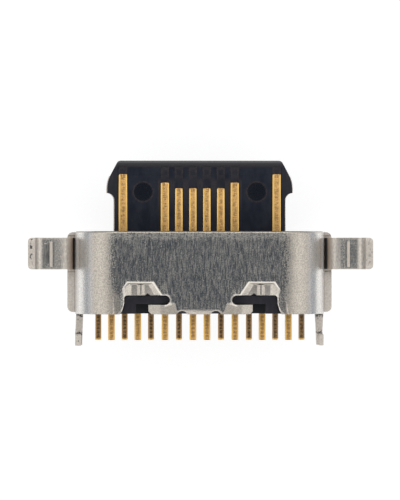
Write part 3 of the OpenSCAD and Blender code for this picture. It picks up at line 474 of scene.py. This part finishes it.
def crowned(bm, over_y, under_y, rim, drop):
    """Slopes both rims of the upper face of a strip, between two places along it. Returns its middle and half width."""
    part = [v for v in bm.verts if over_y < v.co.y / MM < under_y]
    middle, half = span_of([v.co.x / MM for v in part])
    for offset in (half - rim, half - rim / 2, rim / 2 - half, rim - half):
        faces = [f for f in bm.faces if all(over_y < v.co.y / MM < under_y for v in f.verts)]
        edges = {e for f in faces for e in f.edges}
        verts = {v for f in faces for v in f.verts}
        bmesh.ops.bisect_plane(bm, geom=faces + list(edges) + list(verts), plane_co=((middle + offset) * MM, 0, 0), plane_no=(1, 0, 0))
    bm.normal_update()
    for v in bm.verts:
        x, y = v.co.x / MM, v.co.y / MM
        if over_y < y < under_y and max((f.normal.z for f in v.link_faces), default=0) > 0.6:
            out = (abs(x - middle) - half + rim) / rim
            if out > 0.01:
                v.co.z -= drop * out ** 1.6 * MM
    return middle, half


def crisp(shape):
    """Marks the edges left without a rounding, so that the shading breaks there."""
    bm = bmesh.new()
    bm.from_mesh(shape)
    for edge in bm.edges:
        edge.smooth = len(edge.link_faces) == 2 and edge.calc_face_angle(0) < CREASE
    bm.to_mesh(shape)
    bm.free()


def finished(node, shape, materials, pick=None):
    shape.name = node + "_dressed"
    shape.materials.clear()
    for material in materials:
        shape.materials.append(material)
    for face in shape.polygons:
        face.use_smooth = True
        face.material_index = pick(face.center / MM, face.normal) if pick else 0
    crisp(shape)
    piece = bpy.data.objects.new(node + "_dressed", shape)
    bpy.context.scene.collection.objects.link(piece)
    normals = piece.modifiers.new("normals", "WEIGHTED_NORMAL")
    normals.keep_sharp = True
    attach(piece, "root")
    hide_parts(node)
    return piece


def dressed(node, materials, width_of, pick=None, cuts=(), reshaped=None):
    """Stands for a CAD node: the same solid with welded faces and rounded edges."""
    bm = welded(node, cuts)
    if reshaped:
        reshaped(bm)
    shape = rounded(bm, width_of if callable(width_of) else lambda edge: width_of)
    bm.free()
    return finished(node, shape, materials, pick)


def contact(node, material):
    """A contact with sloped rims; its place across the strip and the way from its front end are kept as UV."""
    bm = welded(node, [(1, (-0.045, -2.0))])
    upper = node.startswith("upper")
    front = max(v.co.y for v in bm.verts) / MM
    on_tongue = crowned(bm, -0.05, 99, 0.07, 0.024) if upper else (0, 1)
    on_tail = crowned(bm, -9, -1.99, 0.055, 0.02)
    shape = rounded(bm, lambda edge: 0.012)
    bm.free()
    layer = shape.uv_layers.new(name="across")
    for loop in shape.loops:
        x, y, z = shape.vertices[loop.vertex_index].co / MM
        middle, half = on_tongue if y > -1 else on_tail
        layer.data[loop.index].uv = ((x - middle) / half, front - y)
    return finished(node, shape, [material])


def bent_legs(bm):
    """The tips of the shell's rear legs are a little bent: the left one leans out, the right one is pinched."""
    for v in bm.verts:
        x, y = v.co.x / MM, v.co.y / MM
        share = min(max((-2.3 - y) / 0.6, 0), 1)
        if abs(x) > 4.1 and x < 0:
            v.co.x -= 0.035 * share * MM
        elif x > 4.1:
            v.co.x += (0.035 if x < 4.3 else -0.035) * share * MM


def snug(bm):
    """Lays the bracket's walls against the shell and rounds the outer corners of its wing legs, seen from above."""
    for v in bm.verts:
        if abs(abs(v.co.x) - WALL_X * MM) < 0.003 * MM:
            v.co.x = math.copysign((WALL_X - 0.016) * MM, v.co.x)
    middle, half = span_of([v.co.y / MM for v in bm.verts if abs(v.co.x) > 5.9 * MM])
    far = max(v.co.x for v in bm.verts) / MM
    for share in (0.08, 0.3, 0.55, 0.8):
        for axis, ends in ((0, (-far, far)), (1, (middle - half, middle + half))):
            for end, way in zip(ends, (1, -1)):
                faces = [f for f in bm.faces if all(abs(v.co.x) > 5.8 * MM for v in f.verts)]
                spot, normal = [0, 0, 0], [0, 0, 0]
                spot[axis], normal[axis] = (end + way * share * TIP_ROUND) * MM, 1
                parts = faces + list({e for f in faces for e in f.edges}) + list({v for f in faces for v in f.verts})
                bmesh.ops.bisect_plane(bm, geom=parts, dist=0.0005 * MM, plane_co=spot, plane_no=normal)
    for v in bm.verts:
        x, y = abs(v.co.x) / MM - far + TIP_ROUND, abs(v.co.y / MM - middle) - half + TIP_ROUND
        if x > 0 and y > 0 and math.hypot(x, y) > TIP_ROUND:
            pull = TIP_ROUND / math.hypot(x, y)
            v.co.x = math.copysign((far - TIP_ROUND + x * pull) * MM, v.co.x)
            v.co.y = (middle + math.copysign(half - TIP_ROUND + y * pull, v.co.y / MM - middle)) * MM
    bm.normal_update()


def shell_width(edge):
    """Cut-outs and dents are rolled in at the face of the shell; the rest is crisp."""
    points = [v.co / MM for v in edge.verts]
    on_top = all(p.z > TOP_Z - 0.004 for p in points)
    if on_top and all(-1.85 < p.y < -1.2 and abs(p.x) > 2.69 for p in points):
        return 0.022
    if on_top and all(-2.1 < p.y < -0.9 and abs(p.x) > 1.02 for p in points):
        return 0.06
    return 0.012 if all(p.y > 0.7 for p in points) else 0.018


def bracket_width(edge):
    """The edges beside the shell stay crisp."""
    return 0.004 if all(abs(v.co.x) < 4.6 * MM for v in edge.verts) else 0.022


def shell_pick(at, normal):
    if at.y < -2.19:
        return 1
    return 1 if at.y < -2.17 and normal.y < -0.8 else 0


def bracket_pick(at, normal):
    if at.z > 3.24:
        return 2
    return 1 if at.z < 2.0 and normal.z > 0.8 and abs(at.x) > 4.4 else 0


SHELL_CUTS = [(1, (-0.95,)), (0, (0, -1.03, 1.03, -2.86, 2.86))]
dressed("front_shell", [STEEL, TORN], shell_width, shell_pick, SHELL_CUTS, bent_legs)
dressed("outer_bracket", [BRACKET, CUT, TORN], bracket_width, bracket_pick, reshaped=snug)
for node in ("stiffener_plate", "upper_ground_pad", "lower_ground_pad"):
    dressed(node, [PLATE], 0.012)
for node, edge in (("insulator_body", 0.01), ("upper_carrier", 0.006), ("lower_carrier", 0.006)):
    dressed(node, [BODY], edge)
for name in CONTACT_NAMES:
    contact("upper_" + name, GOLD)
    contact("lower_" + name, SHADED_GOLD)


# ---------------------------------------------------------------- floor, light and camera

def make_floor():
    size = 150 * MM
    mesh = bpy.data.meshes.new("floor")
    mesh.from_pydata([(-size, -size, 0), (size, -size, 0), (size, size, 0), (-size, size, 0)], [], [(0, 1, 2, 3)])
    floor = bpy.data.objects.new("floor", mesh)
    floor.location.z = -0.002 * MM
    bpy.context.scene.collection.objects.link(floor)
    k = Kit("pale_floor")
    x, y, z = k.xyz()
    away = k.math("SQRT", k.math("ADD", k.math("MULTIPLY", x, x), k.math("MULTIPLY", y, y)))
    near = k.span(away, 11.0, 17.0, 1.0, 0.0)
    grain = k.noise(k.point(), 1.5, 3.0)
    k.set(base_color=k.mix(near, (0.34, 0.37, 0.42, 1), k.mix(grain, (0.94, 0.94, 0.94, 1), (0.96, 0.96, 0.95, 1))), roughness=0.9)
    k.set(emission_color=(1, 0.99, 0.97, 1), emission_strength=k.math("MULTIPLY", near, 0.3))
    seen = k.add("ShaderNodeLightPath").outputs["Is Camera Ray"]
    white = k.add("ShaderNodeBsdfDiffuse")
    white.inputs["Color"].default_value = (0.25, 0.265, 0.285, 1)
    lift = k.add("ShaderNodeEmission")
    lift.inputs["Strength"].default_value = 0.84
    both = k.add("ShaderNodeAddShader")
    k.join(white.outputs[0], both.inputs[0])
    k.join(lift.outputs[0], both.inputs[1])
    choose = k.add("ShaderNodeMixShader")
    k.join(seen, choose.inputs[0])
    k.join(k.shader.outputs[0], choose.inputs[1])
    k.join(both.outputs[0], choose.inputs[2])
    out = k.tree.nodes["Material Output"]
    k.join(choose.outputs[0], out.inputs["Surface"])
    mesh.materials.append(k.material)


def make_world():
    """A tent: dark overhead, where the camera stands, a bright warm ring round it and a cool horizon."""
    world = bpy.data.worlds.new("tent")
    world.use_nodes = True
    bpy.context.scene.world = world
    nodes, links = world.node_tree.nodes, world.node_tree.links
    place = nodes.new("ShaderNodeTexCoord")
    split = nodes.new("ShaderNodeSeparateXYZ")
    links.new(place.outputs["Generated"], split.inputs[0])
    ramp = nodes.new("ShaderNodeValToRGB")
    shift = nodes.new("ShaderNodeMapRange")
    shift.inputs["From Min"].default_value = -1
    links.new(split.outputs["Z"], shift.inputs["Value"])
    links.new(shift.outputs[0], ramp.inputs[0])
    stops = ramp.color_ramp.elements
    table = [
        (-1.0, (0.6, 0.6, 0.6)),
        (-0.02, (0.48, 0.495, 0.52)),
        (0.17, (0.53, 0.54, 0.56)),
        (0.3, (1.15, 1.09, 1.01)),
        (0.82, (1.3, 1.24, 1.15)),
        (0.87, (0.23, 0.225, 0.22)),
        (1.0, (0.2, 0.2, 0.205)),
    ]
    while len(stops) < len(table):
        stops.new(0.5)
    for stop, (height, colour) in zip(stops, table):
        stop.position = (height + 1) / 2
        stop.color = (*colour, 1)
    light = nodes["Background"]
    links.new(ramp.outputs[0], light.inputs["Color"])
    seen = nodes.new("ShaderNodeLightPath")
    white = nodes.new("ShaderNodeBackground")
    white.inputs["Color"].default_value = (1, 1, 1, 1)
    choose = nodes.new("ShaderNodeMixShader")
    links.new(seen.outputs["Is Camera Ray"], choose.inputs[0])
    links.new(light.outputs[0], choose.inputs[1])
    links.new(white.outputs[0], choose.inputs[2])
    links.new(choose.outputs[0], nodes["World Output"].inputs["Surface"])


def make_camera():
    data = bpy.data.cameras.new("camera")
    camera = bpy.data.objects.new("camera", data)
    data.sensor_width = SENSOR
    data.lens = SENSOR * CAMERA_AWAY / (IMAGE_H / PX_PER_MM * MM)
    data.clip_start, data.clip_end = 10 * MM, 1000 * MM
    camera.location = LOOK_AT + CAMERA_AWAY * Vector((-math.sin(CAMERA_TILT), 0, math.cos(CAMERA_TILT)))
    camera.rotation_euler = (0, -CAMERA_TILT, 0)
    bpy.context.scene.collection.objects.link(camera)
    bpy.context.scene.camera = camera


make_floor()
make_world()
make_camera()
bpy.context.scene.view_settings.view_transform = "Standard"
